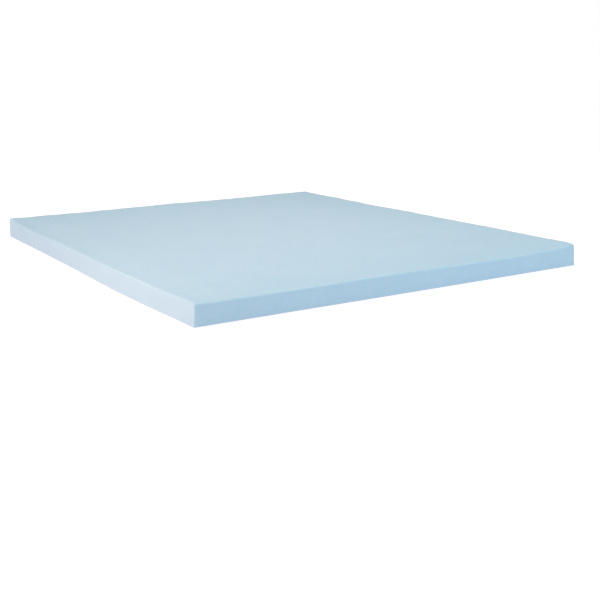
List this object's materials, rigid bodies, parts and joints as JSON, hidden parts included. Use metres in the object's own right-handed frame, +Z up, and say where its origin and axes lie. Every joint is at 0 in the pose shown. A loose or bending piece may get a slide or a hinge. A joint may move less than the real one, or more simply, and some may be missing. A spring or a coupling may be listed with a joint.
{
  "type": "mattress topper",
  "caption": "Foam mattress topper for a very large bed: one thick, flat slab with soft rounded edges that lies on a mattress.",
  "frame": {"origin": "middle of the slab's box, on the surface that it lies on", "axes": "+X across the bed, +Y along the bed, +Z up"},
  "size_m": [1.849, 2.1456, 0.0994],
  "materials": {
    "foam": "matte open-cell foam"
  },
  "bodies": {
    "root": {"foam_slab": "foam"}
  },
  "joints": []
}
